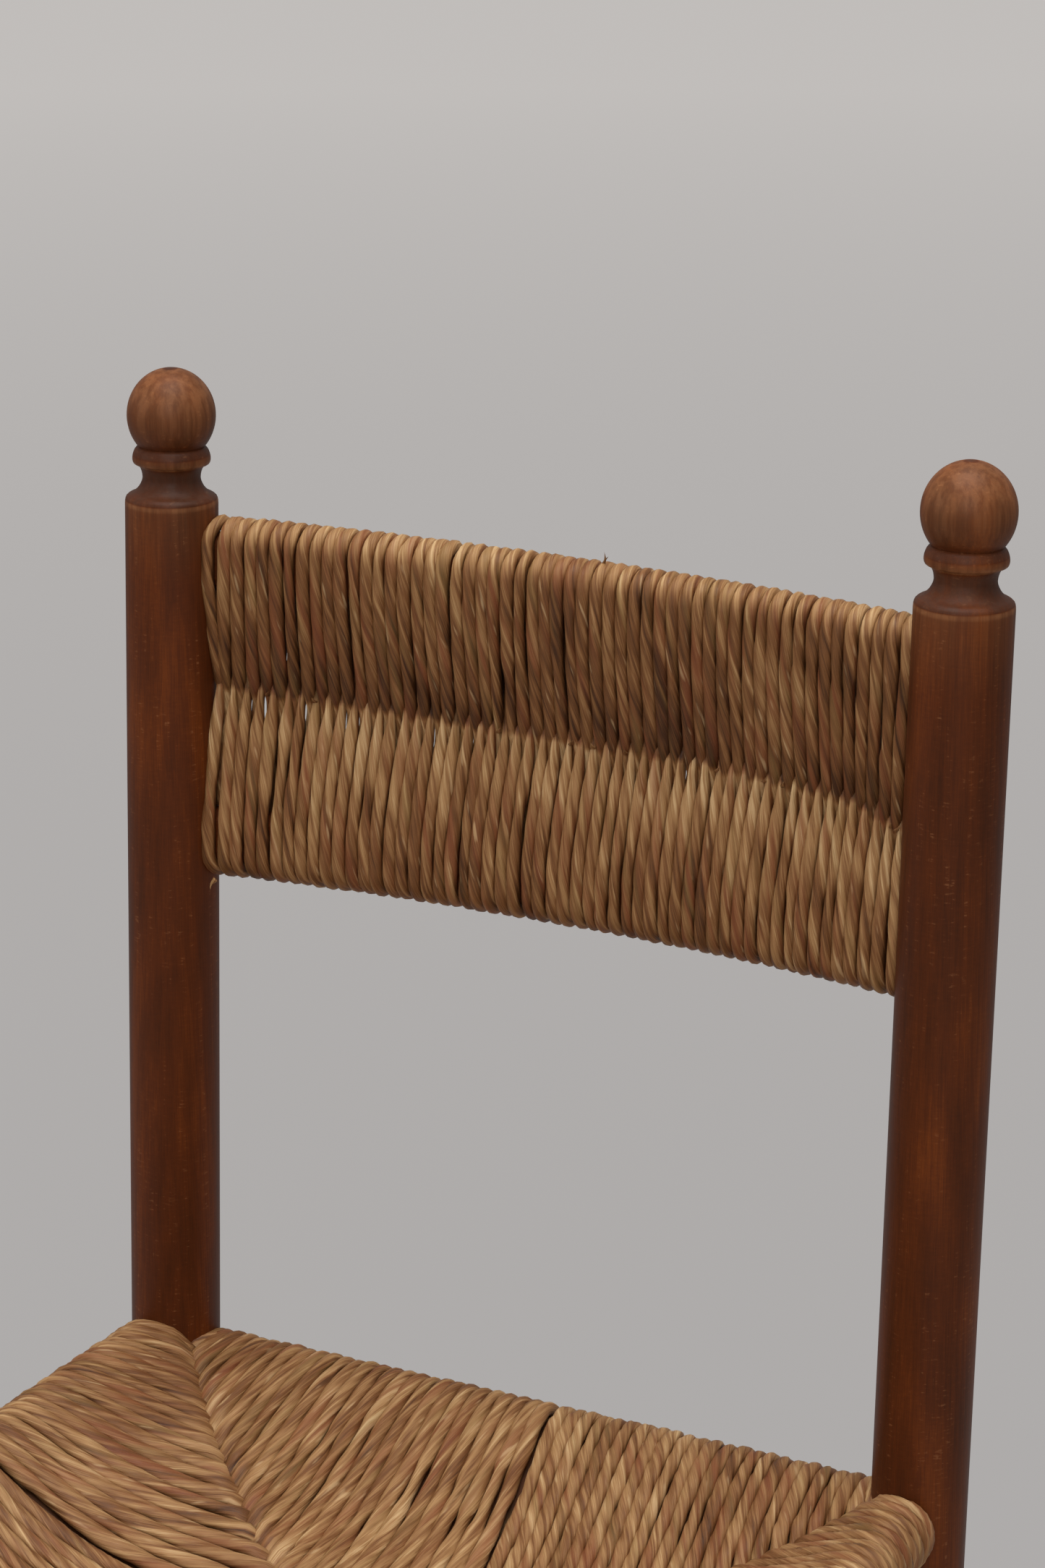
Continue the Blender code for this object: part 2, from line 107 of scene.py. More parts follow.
def addNoise(tree, place, scale=1.0, detail=3.0, roughness=0.6):
    return addNode(tree, "ShaderNodeTexNoise", {
        "Vector": place, "Scale": scale, "Detail": detail, "Roughness": roughness}).outputs["Fac"]


def addRange(tree, value, start, end, low=0.0, high=1.0):
    return addNode(tree, "ShaderNodeMapRange", {
        "Value": value, "From Min": start, "From Max": end, "To Min": low,
        "To Max": high}).outputs["Result"]


def mixColours(tree, share, first, second):
    return addNode(tree, "ShaderNodeMix", {"Factor": share, "A": first, "B": second},
                   data_type="RGBA").outputs["Result"]


def addRamp(tree, value, stops):
    node = addNode(tree, "ShaderNodeValToRGB", {"Fac": value})
    ramp = node.color_ramp
    while len(ramp.elements) < len(stops):
        ramp.elements.new(0.5)
    for element, (place, colour) in zip(ramp.elements, stops):
        element.position = place
        element.color = hexColour(colour)
    return node.outputs["Color"]


def startMaterial(name):
    material = bpy.data.materials.new(name)
    material.use_nodes = True
    tree = material.node_tree
    return material, tree, tree.nodes["Principled BSDF"]


# Joins colour, roughness and relief to a material's surface
def finishMaterial(tree, shader, colour, rough, shine, relief, strength, depth):
    tree.links.new(colour, shader.inputs["Base Color"])
    tree.links.new(rough, shader.inputs["Roughness"])
    shader.inputs["Specular IOR Level"].default_value = shine
    bump = addNode(tree, "ShaderNodeBump", {"Height": relief, "Strength": strength, "Distance": depth})
    tree.links.new(bump.outputs["Normal"], shader.inputs["Normal"])


# Beech, stained red-brown under a thin satin lacquer that is worn in places.
# The stain darkens the fine upright grain, and short flecks across it stay lighter.
beech = {
    # the grey dark brown for the finial is dust, and painted shade in its cove and creases
    "dark": "#401e0b", "body": "#57280d", "warm": "#6f350f", "worn": "#a06c46", "finialDustAndShade": "#43342a",
    "darkAt": 0.50, "bodyAt": 0.72, "warmAt": 0.90,
    "fibreWidth": 0.00045, "fibreLength": 0.030, "fibreWeight": 0.30,
    "streakWidth": 0.0030, "streakLength": 0.110, "streakWeight": 0.24,
    "patchWidth": 0.016, "patchLength": 0.085, "patchRoughness": 0.55, "patchWeight": 0.70,
    "markWidth": 0.0034, "markHeight": 0.0010, "markRoughness": 0.5, "markWeight": 0.12,
    "ringWidth": 0.0024, "ringHeart": (0.034, 0.021, 0.0), "ringStretch": (1, 1, 0.10),
    "ringBend": 2.2, "ringBendScale": 0.6, "ringWeight": 0.04,
    "fleckMarks": (0.60, 0.72), "fleckStreaks": (0.52, 0.62), "fleck": 0.28,
    "rubbedStreaks": (0.40, 0.60), "rubbed": (0.55, 1.1), "wornShare": 0.75, "finialDustAndShadeShare": 0.8,
    "roughness": 0.46, "smoother": 0.08, "rougher": 0.12, "shine": 0.15,
    "relief": 0.3, "reliefDepth": 0.0002,
}
# A wave texture of this scale has its rings one metre apart
waveScale = 0.314
# Height above the floor, and how far the lacquer is worn (+); below zero, dust and painted shade darken
# the colour in the cove under the collar and the crease below the ball
finialWearAndShade = ((0.7700, 0.0), (0.7900, 0.12), (0.7990, 0.20), (0.8006, 0.56), (0.8016, 0.05),
              (0.8024, -0.45), (0.8050, -0.50), (0.8120, -0.55), (0.8150, -0.1), (0.8160, 0.62),
              (0.8176, 0.36), (0.8195, 0.12), (0.8208, -0.35), (0.8260, 0.07), (0.8360, 0.34),
              (0.8546, 0.50), (0.8550, -0.6))


# The wear and painted shade at a height, as a curve from 0 for the most dust and shade to 1 for the
# most wear
def addWearAndShadeCurve(tree, height):
    low, high = finialWearAndShade[0][0], finialWearAndShade[-1][0]
    wearAndShade = addNode(tree, "ShaderNodeFloatCurve", {"Value": addRange(tree, height, low, high)})
    points = wearAndShade.mapping.curves[0].points
    for index, (level, amount) in enumerate(finialWearAndShade):
        where = ((level - low) / (high - low), 0.5 + amount / 2)
        if index in (0, len(finialWearAndShade) - 1):
            points[0 if index == 0 else -1].location = where
        else:
            points.new(*where)
    wearAndShade.mapping.update()
    return wearAndShade.outputs[0]


def makeBeech(name, turn, look):
    material, tree, shader = startMaterial(name)
    place = addNode(tree, "ShaderNodeTexCoord").outputs["Object"]
    # the grain runs along each piece's own length
    along = addNode(tree, "ShaderNodeMapping", {"Vector": place, "Rotation": turn}).outputs["Vector"]

    def stretch(width, length):
        return addNode(tree, "ShaderNodeMapping", {
            "Vector": along, "Scale": (1 / width, 1 / width, 1 / length)}).outputs["Vector"]

    fibre = addNoise(tree, stretch(look["fibreWidth"], look["fibreLength"]))
    streaks = addNoise(tree, stretch(look["streakWidth"], look["streakLength"]))
    patches = addNoise(tree, stretch(look["patchWidth"], look["patchLength"]),
                       roughness=look["patchRoughness"])
    # short marks across the grain: ray flecks, and lines left by the turning tool
    marks = addNoise(tree, stretch(look["markWidth"], look["markHeight"]), detail=2.0,
                     roughness=look["markRoughness"])
    # growth rings: nested shells round a heart outside the piece
    ringPlace = addNode(tree, "ShaderNodeMapping", {
        "Vector": along, "Location": look["ringHeart"], "Scale": look["ringStretch"]})
    rings = addNode(tree, "ShaderNodeTexWave", {
        "Vector": ringPlace.outputs["Vector"], "Scale": waveScale / look["ringWidth"],
        "Distortion": look["ringBend"], "Detail": 2.0, "Detail Scale": look["ringBendScale"]},
        wave_type="RINGS", rings_direction="Z", wave_profile="SAW").outputs["Fac"]
    total = addWeighted(tree, 0.0, (
        (fibre, look["fibreWeight"]), (streaks, look["streakWeight"]), (rings, look["ringWeight"]),
        (patches, look["patchWeight"]), (marks, look["markWeight"])))
    colour = addRamp(tree, total, (
        (look["darkAt"], look["dark"]), (look["bodyAt"], look["body"]), (look["warmAt"], look["warm"])))
    # the flecks show only in some streaks
    fleckMask = addRange(tree, marks, *look["fleckMarks"], high=look["fleck"])
    fleckBand = addRange(tree, streaks, *look["fleckStreaks"])
    fleckShare = addMath(tree, "MULTIPLY", fleckMask, fleckBand)
    colour = mixColours(tree, fleckShare, colour, hexColour(look["worn"]))
    # wear, and dust with painted shade, on the turned ends, rubbed unevenly along the fibres
    height = addNode(tree, "ShaderNodeSeparateXYZ", {"Vector": place}).outputs["Z"]
    wearAndShade = addWearAndShadeCurve(tree, height)
    rubbed = addRange(tree, streaks, *look["rubbedStreaks"], *look["rubbed"])
    for doubled, target, share in ((2.0, "worn", look["wornShare"]), (-2.0, "finialDustAndShade", look["finialDustAndShadeShare"])):
        amount = addMath(tree, "SUBTRACT", wearAndShade, 0.5)
        amount = addMath(tree, "MULTIPLY", amount, doubled * share, clamp=True)
        amount = addMath(tree, "MULTIPLY", amount, rubbed, clamp=True)
        colour = mixColours(tree, amount, colour, hexColour(look[target]))
    rough = addRange(tree, patches, 0.0, 1.0, look["roughness"] - look["smoother"],
                     look["roughness"] + look["rougher"])
    finishMaterial(tree, shader, colour, rough, look["shine"], fibre, look["relief"],
                   look["reliefDepth"])
    return material


# Rush: dried marsh leaves twisted by hand into a cord. Each leaf is a flat
# band with a satin sheen, some reddish and some still a little green.
rush = {
    "shadow": "#43250f", "brown": "#7c502c", "straw": "#a97f52", "pale": "#d4b182",
    "red": "#85472a", "green": "#86703f",
    "shadowAt": 0.10, "brownAt": 0.39, "strawAt": 0.63, "paleAt": 0.88, "base": 0.34,
    "fibreWidth": 0.00030, "fibreLength": 0.014, "fibreWeight": 0.55,
    "leafWidth": 0.0019, "leafLength": 0.026, "leafShift": 5.0, "leafWeight": 0.88,
    "patchScale": 24.0, "patchWeight": 0.34, "toneWeight": 1.0, "dustAndShadeWeight": -0.35,
    "roughness": 0.48, "smoother": 0.12, "rougher": 0.16, "roughnessFrom": 0.3, "shine": 0.26,
    "leafRelief": 2.0, "relief": 0.6, "reliefDepth": 0.0005,
}
# Whole leaves of another hue, and short pale streaks that are broken leaf ends and painted glints:
# width, length, a shift of their own, the noise at which they start and are full, and the most they
# cover
leafHuesAndGlints = (
    ("red", 0.0045, 0.055, 9.0, 0.03, 0.22, 0.52),
    ("green", 0.0045, 0.055, 14.0, 0.07, 0.26, 0.26),
    ("pale", 0.0022, 0.016, 20.0, 0.17, 0.26, 0.46),
)


def makeRush(name, look):
    material, tree, shader = startMaterial(name)
    lay = addNode(tree, "ShaderNodeAttribute", attribute_name="lay").outputs["Vector"]
    tone = addNode(tree, "ShaderNodeAttribute", attribute_name="tone").outputs["Fac"]
    # each point's darkening: dust, painted shade and, below zero, painted light
    dustAndShade = addNode(tree, "ShaderNodeAttribute", attribute_name="dustAndShade").outputs["Fac"]
    place = addNode(tree, "ShaderNodeTexCoord").outputs["Object"]

    # noise drawn out along the leaves, about zero
    def leafNoise(width, length, shift, detail):
        stretched = addNode(tree, "ShaderNodeMapping", {
            "Vector": lay, "Location": (shift, shift, 0.0),
            "Scale": (1 / width, 1 / width, 1 / length)}).outputs["Vector"]
        return addMath(tree, "SUBTRACT", addNoise(tree, stretched, detail=detail), 0.5)

    fibre = leafNoise(look["fibreWidth"], look["fibreLength"], 0.0, 3.0)
    leaf = leafNoise(look["leafWidth"], look["leafLength"], look["leafShift"], 2.0)
    patch = addNoise(tree, place, scale=look["patchScale"])
    total = addMath(tree, "MULTIPLY_ADD", dustAndShade, look["dustAndShadeWeight"], look["base"])
    total = addWeighted(tree, total, (
        (tone, look["toneWeight"]), (fibre, look["fibreWeight"]), (leaf, look["leafWeight"]),
        (patch, look["patchWeight"])))
    colour = addRamp(tree, total, (
        (look["shadowAt"], look["shadow"]), (look["brownAt"], look["brown"]),
        (look["strawAt"], look["straw"]), (look["paleAt"], look["pale"])))
    for hue, width, length, shift, start, full, most in leafHuesAndGlints:
        share = addRange(tree, leafNoise(width, length, shift, 1.0), start, full, high=most)
        colour = mixColours(tree, share, colour, hexColour(look[hue]))
    rough = addRange(tree, leaf, -look["roughnessFrom"], look["roughnessFrom"],
                     look["roughness"] - look["smoother"], look["roughness"] + look["rougher"])
    relief = addMath(tree, "MULTIPLY_ADD", leaf, look["leafRelief"], fibre)
    finishMaterial(tree, shader, colour, rough, look["shine"], relief, look["relief"],
                   look["reliefDepth"])
    return material


# Turned wood

# Edges sharper than this stay crisp
crispAngle = math.radians(34)


def selectOnly(piece):
    bpy.ops.object.select_all(action="DESELECT")
    piece.select_set(True)
    bpy.context.view_layer.objects.active = piece


# Turns a piece on the lathe: a disc at the foot of the profile is drawn up
# ring by ring to each radius and height.
def turnPiece(name, profile, sides):
    bpy.ops.object.select_all(action="DESELECT")
    radius, height = profile[0]
    bpy.ops.mesh.primitive_circle_add(
        vertices=sides, radius=radius, fill_type="NGON", location=(0, 0, height))
    piece = bpy.context.object
    piece.name = name
    bpy.ops.object.transform_apply(location=True, rotation=True, scale=True)
    bpy.ops.object.mode_set(mode="EDIT")
    bpy.ops.mesh.select_mode(type="FACE")
    bpy.ops.mesh.select_all(action="SELECT")
    for nextRadius, nextHeight in profile[1:]:
        bpy.ops.mesh.extrude_region_move(
            TRANSFORM_OT_translate={"value": (0, 0, nextHeight - height)})
        change = nextRadius / radius
        bpy.ops.transform.resize(value=(change, change, 1), center_override=(0, 0, nextHeight))
        radius, height = nextRadius, nextHeight
    bpy.ops.mesh.select_all(action="SELECT")
    bpy.ops.mesh.normals_make_consistent(inside=False)
    bpy.ops.object.mode_set(mode="OBJECT")
    bpy.ops.object.shade_smooth_by_angle(angle=crispAngle)
    return piece


def placePiece(piece, matrix):
    selectOnly(piece)
    piece.matrix_world = matrix
    bpy.ops.object.transform_apply(location=True, rotation=True, scale=True)


def finishPiece(piece, material, slotName, *nodes):
    piece.data.materials.clear()
    piece.data.materials.append(material)
    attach(piece, "root")
    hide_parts(*nodes)


# The tables give shares of the way up and of the way out
post = {
    "sides": 96, "belowFloor": 0.004, "firstRing": 0.05, "plainRings": 12,
    "finialHeight": 0.0525, "shoulderRound": 0.003, "shoulderSteps": 4, "ledge": 0.87,
    "neckRadius": 0.0118,
    "coveBelow": ((0.03, 0.83), (0.06, 0.74), (0.09, 0.62), (0.12, 0.51), (0.16, 0.41), (0.21, 0.31),
                  (0.27, 0.22), (0.34, 0.14), (0.42, 0.07), (0.50, 0.02), (0.58, 0.0)),
    "coveAbove": ((0.68, 0.04), (0.77, 0.12), (0.85, 0.24), (0.91, 0.38), (0.96, 0.56), (0.99, 0.72)),
    "collarRadius": 0.0159, "collarEdgeRadius": 0.0150, "collarEdgeHeight": 0.0133,
    "collar": ((0.0, 0.0), (0.05, 0.5), (0.13, 0.82), (0.24, 1.0), (0.36, 1.0), (0.5, 0.84),
               (0.65, 0.5), (0.8, 0.0), (0.92, -0.7)),
    "ballRadius": 0.01804, "ballHalfHeight": 0.01926, "ballFootRadius": 0.0135,
    "ballTop": math.radians(88.5), "ballSteps": 26,
}


def tableRings(table, foot, rise, inner, reach):
    return [(inner + reach * out, foot + rise * up) for up, out in table]


# Radius and height pairs from the foot up to the top of the ball
def postProfile(length):
    radius, neck = chair["postRadius"], post["neckRadius"]
    shoulder = length - post["finialHeight"]
    # the post starts below the floor, and is cut off level once it leans
    profile = [(radius, -post["belowFloor"])]
    heights = np.linspace(post["firstRing"], shoulder - post["shoulderRound"], post["plainRings"])
    profile += [(radius, float(height)) for height in heights]
    ledge = neck + (radius - neck) * post["ledge"]
    for index in range(1, post["shoulderSteps"] + 1):
        angle = math.pi / 2 * index / post["shoulderSteps"]
        profile.append((ledge + (radius - ledge) * math.cos(angle),
                        shoulder - post["shoulderRound"] * (1 - math.sin(angle))))
    edge, edgeHeight = post["collarEdgeRadius"], post["collarEdgeHeight"]
    profile += tableRings(post["coveBelow"], shoulder, edgeHeight, neck, radius - neck)
    profile += tableRings(post["coveAbove"], shoulder, edgeHeight, neck, edge - neck)
    ballMiddle = length - post["ballHalfHeight"]
    ballFoot = -math.acos(post["ballFootRadius"] / post["ballRadius"])
    collarFoot = shoulder + edgeHeight
    collarTop = ballMiddle + post["ballHalfHeight"] * math.sin(ballFoot)
    profile += tableRings(post["collar"], collarFoot, collarTop - collarFoot, edge,
                          post["collarRadius"] - edge)
    for index in range(post["ballSteps"] + 1):
        angle = ballFoot + (post["ballTop"] - ballFoot) * index / post["ballSteps"]
        profile.append((post["ballRadius"] * math.cos(angle),
                        ballMiddle + post["ballHalfHeight"] * math.sin(angle)))
    return profile


quarterTurn = math.radians(90)
postBeech = makeBeech("StainedBeechUpright", (0.0, 0.0, 0.0), beech)
crossBeech = makeBeech("StainedBeechCrossways", (0.0, quarterTurn, 0.0), beech)
sideBeech = makeBeech("StainedBeechLengthways", (quarterTurn, 0.0, 0.0), beech)
sidesOfChair = ((-1, "left"), (1, "right"))

postLength = chair["overallHeight"] / math.cos(chair["rake"])
for side, word in sidesOfChair:
    piece = turnPiece(word + "BackPost", postProfile(postLength), post["sides"])
    placePiece(piece, backTurn @ Matrix.Translation((side * chair["halfBack"], 0, 0)))
    bpy.ops.object.mode_set(mode="EDIT")
    bpy.ops.mesh.select_all(action="SELECT")
    bpy.ops.mesh.bisect(plane_co=(0, 0, 0), plane_no=(0, 0, -1), use_fill=True, clear_outer=True)
    bpy.ops.object.mode_set(mode="OBJECT")
    finishPiece(piece, postBeech, "turned_beech", word + "_back_post")
print("back posts turned")

leg = {
    "sides": 96, "footRound": 0.0015, "footMiddle": 0.3, "rings": (0.25, 0.5, 0.75),
    "domeHeight": 0.007, "domeSteps": 10, "domeTip": 0.02,
}


def legProfile():
    radius, height = chair["postRadius"], chair["legHeight"]
    middle = leg["footRound"] * leg["footMiddle"]
    profile = [(radius - leg["footRound"], 0), (radius - middle, middle), (radius, leg["footRound"])]
    profile += [(radius, height * share) for share in leg["rings"]]
    for index in range(leg["domeSteps"]):
        angle = math.pi / 2 * index / leg["domeSteps"]
        profile.append((radius * math.cos(angle), height - leg["domeHeight"] * (1 - math.sin(angle))))
    profile.append((radius * leg["domeTip"], height))
    return profile


for side, word in sidesOfChair:
    piece = turnPiece(word + "FrontLeg", legProfile(), leg["sides"])
    placePiece(piece, Matrix.Translation(frontAxis(side, 0)))
    finishPiece(piece, postBeech, "turned_beech", word + "_front_leg")
print("front legs turned")

# The swell gives shares of the length and of the rise to the full radius
stretcher = {
    "sides": 48, "radius": 0.010, "tenonRadius": 0.0065, "setIn": 0.006, "bare": 0.004,
    "swell": ((0.0, 0.0), (0.03, 0.14), (0.06, 0.26), (0.10, 0.39), (0.15, 0.52), (0.21, 0.66),
              (0.27, 0.78), (0.33, 0.88), (0.39, 0.95), (0.45, 0.99)),
    "sideHeights": (("Upper", 0.262), ("Lower", 0.132)),
    "backHeight": 0.205, "upperFrontHeight": 0.292, "lowerFrontHeight": 0.160,
}


# A stretcher is set a little way into the uprights
def addStretcher(name, start, end, material, node):
    run = (end - start).normalized()
    length = (end - start).length - 2 * (chair["postRadius"] - stretcher["setIn"])
    bare = stretcher["setIn"] + stretcher["bare"]
    tenon = stretcher["tenonRadius"]
    lower = tableRings(stretcher["swell"], bare, length - 2 * bare, tenon, stretcher["radius"] - tenon)
    upper = [(radius, length - height) for radius, height in reversed(lower)]
    profile = [(tenon, 0)] + lower + [(stretcher["radius"], length / 2)] + upper + [(tenon, length)]
    piece = turnPiece(name, profile, stretcher["sides"])
    place = Matrix.Translation(start + run * (chair["postRadius"] - stretcher["setIn"]))
    placePiece(piece, place @ run.to_track_quat("Z", "Y").to_matrix().to_4x4())
    finishPiece(piece, material, "turned_beech", node)


for side, word in sidesOfChair:
    for level, height in stretcher["sideHeights"]:
        addStretcher(word + level + "Stretcher", backAxis(side, height), frontAxis(side, height),
                     sideBeech, word + "_" + level.lower() + "_stretcher")
for name, node, axis, height in (
        ("backStretcher", "back_stretcher", backAxis, stretcher["backHeight"]),
        ("upperFrontStretcher", "upper_front_stretcher", frontAxis, stretcher["upperFrontHeight"]),
        ("lowerFrontStretcher", "lower_front_stretcher", frontAxis, stretcher["lowerFrontHeight"])):
    addStretcher(name, axis(-1, height), axis(1, height), crossBeech, node)
print("stretchers turned")

# The rails and slats stay as the solids are, hidden under the rush
for material, nodes in (
        (crossBeech, ("back_seat_rail", "front_seat_rail", "upper_back_slat", "lower_back_slat")),
        (sideBeech, ("left_seat_rail", "right_seat_rail"))):
    for node in nodes:
        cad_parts[node].data.materials.clear()
        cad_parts[node].data.materials.append(material)


# Rush cords

# Below this a value counts as zero
nearlyZero = 1e-6

# How the leaves lie in a cord. A pair is soft noise: its spacing along the cord and its amount.
cord = {
    "turn": (0.045, 0.45), "tone": (0.06, 0.07), "toneEach": 0.04,
    "step": (0.02, 0.8), "curve": 2.2, "drop": 2.0, "lumps": (0.014, 0.035),
    "leafTone": (0.035, 0.07), "leafToneEach": 0.05,
    "shadedEdge": 0.09, "litEdge": 0.04, "litSides": 1.5,
    "layRadius": 0.0028, "layShift": 20, "grooveFrom": 0.84, "grooveRun": 0.16,
    "dustAndGrooveShade": 0.35, "dustAndShadeNoise": (0.02, 0.55),
}


def smoothStep(value):
    value = np.clip(value, 0, 1)
    return value * value * (3 - 2 * value)


def blend(start, end, share):
    return start + (end - start) * share


# Smooth random values along a length, one new value every spacing
def softNoise(lengths, spacing, amount):
    count = int((lengths[-1] - lengths[0]) / spacing) + 4
    values = randomValues.uniform(-1, 1, count)
    where = (lengths - lengths[0]) / spacing
    whole = where.astype(int)
    mix = smoothStep(where - whole)
    return amount * (values[whole] * (1 - mix) + values[whole + 1] * mix)


# Where along its length a cord parts from its neighbours: 0 nowhere, 1 fully
def partedShare(lengths, look):
    return smoothStep((softNoise(lengths, *look["partNoise"]) - look["partFrom"]) / look["partRun"])


def pathLengths(points):
    steps = np.linalg.norm(np.diff(points, axis=0), axis=1)
    return np.concatenate(([0], np.cumsum(steps)))


# Places points at an even step along a path, with values carried along
def resample(points, step, *values):
    lengths = pathLengths(points)
    count = max(int(lengths[-1] / step), 4)
    at = np.linspace(0, lengths[-1], count + 1)
    result = []
    for value in (points, *values):
        if np.ndim(value) == 2:
            result.append(np.column_stack(
                [np.interp(at, lengths, value[:, axis]) for axis in range(value.shape[1])]))
        else:
            result.append(np.interp(at, lengths, value))
    return result


# Rings of a cord's surface: flat leaves laid round it at a twist, each leaf's
# edge standing a little over the next one's
def cordRings(points, wide, halfWidth, halfThick, dustAndShade, look):
    leaves, sides = look["leaves"], look["sides"]
    lengths = pathLengths(points)
    tangents = np.gradient(points, axis=0)
    tangents /= np.linalg.norm(tangents, axis=1, keepdims=True)
    wide = wide - tangents * (wide * tangents).sum(axis=1, keepdims=True)
    wide /= np.linalg.norm(wide, axis=1, keepdims=True)
    thick = np.cross(tangents, wide)
    around = 2 * np.pi * np.arange(sides) / sides
    # how far round its leaf each side lies
    share = (np.arange(sides) * leaves / sides) % 1
    turn = (randomValues.uniform(0, 2 * np.pi) - 2 * np.pi * lengths / look["twist"]
            + softNoise(lengths, *cord["turn"]))
    angle = around[None, :] + turn[:, None]
    radius = np.empty((len(lengths), sides))
    tone = np.empty((len(lengths), sides))
    own = randomValues.uniform(-cord["toneEach"], cord["toneEach"]) + softNoise(lengths, *cord["tone"])
    for leaf in range(leaves):
        members = (np.arange(sides) * leaves // sides) == leaf
        height = look["leafStep"] * (1 + softNoise(lengths, *cord["step"]))
        crest = 1 - (1 - share[members]) ** cord["curve"] * cord["drop"]
        radius[:, members] = (1 + height[:, None] * crest
                              + softNoise(lengths, *cord["lumps"])[:, None])
        leafTone = (softNoise(lengths, *cord["leafTone"])
                    + randomValues.uniform(-cord["leafToneEach"], cord["leafToneEach"]))
        tone[:, members] = (leafTone + own)[:, None]
    # a leaf is darker where it goes under the next, as painted shade, and paler along its own edge, as
    # a painted highlight
    tone[:, share < nearlyZero] -= cord["shadedEdge"]
    tone[:, share > 1 - cord["litSides"] * leaves / sides] += cord["litEdge"]
    across = np.cos(angle) * radius * halfWidth[:, None]
    out = np.sin(angle) * radius * halfThick[:, None]
    surface = (points[:, None, :] + across[..., None] * wide[:, None, :]
               + out[..., None] * thick[:, None, :])
    offset = randomValues.uniform(0, cord["layShift"])
    lay = np.empty(surface.shape)
    lay[..., 0] = cord["layRadius"] * np.cos(around)[None, :]
    lay[..., 1] = cord["layRadius"] * np.sin(around)[None, :]
    lay[..., 2] = (lengths + offset)[:, None]
    # dust and painted shade lie in the grooves between cords, more in some places than in others
    groove = smoothStep((np.abs(np.cos(angle)) - cord["grooveFrom"]) / cord["grooveRun"])
    grooveDustAndShade = look["dustAndShadeScale"] * np.clip(cord["dustAndGrooveShade"] + softNoise(lengths, *cord["dustAndShadeNoise"]), 0, 1)
    dustAndGrooveShade = dustAndShade[:, None] + groove * grooveDustAndShade[:, None]
    return surface, lay, tone, dustAndGrooveShade


# Which way a leaf end is wide, and its size at the foot as a share of its radius
sliver = {
    "rings": 8, "wide": (1.0, 0.3, 0.1), "footSize": 1.02, "flatness": 0.5,
    "twist": 0.02, "leafStep": 0.05, "leaves": 2, "sides": 6, "dustAndShadeScale": 1.0,
}


# A broken leaf end that stands up from the cords
def sliverRings(start, end, bend, radius):
    start, end, bend = np.array(start), np.array(end), np.array(bend)
    along = np.linspace(0, 1, sliver["rings"])[:, None]
    points = start + (end - start) * along + bend * np.sin(np.pi * along)
    wide = np.tile(np.array(sliver["wide"]), (sliver["rings"], 1))
    size = radius * (sliver["footSize"] - along[:, 0])
    return cordRings(points, wide, size, size * sliver["flatness"], np.zeros(sliver["rings"]), sliver)


# One mesh from many cords' rings, each cord closed at both ends
def buildCords(name, cords):
    places, lays, tones, dustAndShadeValues, faces = [], [], [], [], []
    base = 0
    for surface, lay, tone, dustAndShade in cords:
        rings, sides = surface.shape[:2]
        places.append(surface.reshape(-1, 3))
        lays.append(lay.reshape(-1, 3))
        tones.append(tone.ravel())
        dustAndShadeValues.append(dustAndShade.ravel())
        grid = base + np.arange(rings * sides).reshape(rings, sides)
        nextSide = np.roll(grid, -1, axis=1)
        quads = np.stack([grid[:-1], nextSide[:-1], nextSide[1:], grid[1:]], axis=-1)
        faces += quads.reshape(-1, 4).tolist()
        faces.append(grid[0][::-1].tolist())
        faces.append(grid[-1].tolist())
        base += rings * sides
    mesh = bpy.data.meshes.new(name)
    mesh.from_pydata(np.concatenate(places).tolist(), [], faces)
    for attributeName, kind, values, field in (
            ("lay", "FLOAT_VECTOR", np.concatenate(lays).ravel(), "vector"),
            ("tone", "FLOAT", np.concatenate(tones), "value"),
            ("dustAndShade", "FLOAT", np.concatenate(dustAndShadeValues), "value")):
        attribute = mesh.attributes.new(attributeName, kind, "POINT")
        attribute.data.foreach_set(field, values.astype(np.float32))
    mesh.shade_smooth()
    piece = bpy.data.objects.new(name, mesh)
    bpy.context.scene.collection.objects.link(piece)
    return piece


# The back panel

# A run is the distance over which a value changes. The shade and darkening values make the rush's
# colour darker, and lighter when below zero: painted shade and painted light
panel = {
    "turns": 55, "upperSlat": 0.778, "lowerSlat": 0.6616, "upperTilt": -0.008, "tiltRun": 0.05,
    "slatHalfThick": 0.005, "slatStraight": 0.007, "bow": 0.017, "cordHalf": 0.0028,
    "clearance": 0.0002, "postPress": 0.0004, "endRise": 0.0005, "waistSway": 0.0012, "pinch": 0.66,
    "faceSteps": 12, "roundSteps": 8, "fineStep": 0.001, "smoothing": 4, "step": 0.0027,
    "postRun": 0.004, "postShift": 0.0017, "drift": (0.09, 0.0006),
    "swing": 0.0030, "swingRun": 0.055, "swingTurns": 9,
    "upperNeck": 0.86, "upperNeckRun": 0.010, "lowerNeck": 0.50, "lowerNeckRun": 0.016,
    "neckRun": 0.006, "neckThick": 0.35, "full": 1.02,
    "widthNoise": (0.04, 0.08), "thickNoise": (0.03, 0.08),
    "parting": 0.24, "backParting": 0.06, "partNoise": (0.03, 1.0), "partFrom": 0.45, "partRun": 0.4,
    "upperShade": 0.31, "waistShade": 0.42, "waistShadeRun": 0.045, "topLight": 0.47, "topRun": 0.006,
    "lowerShade": -0.34, "edgeDarkening": 0.62, "edgeDarkeningRun": 0.05,
    "sides": 15, "twist": 0.058, "leafStep": 0.050, "leaves": 3, "dustAndShadeScale": 1.0,
}
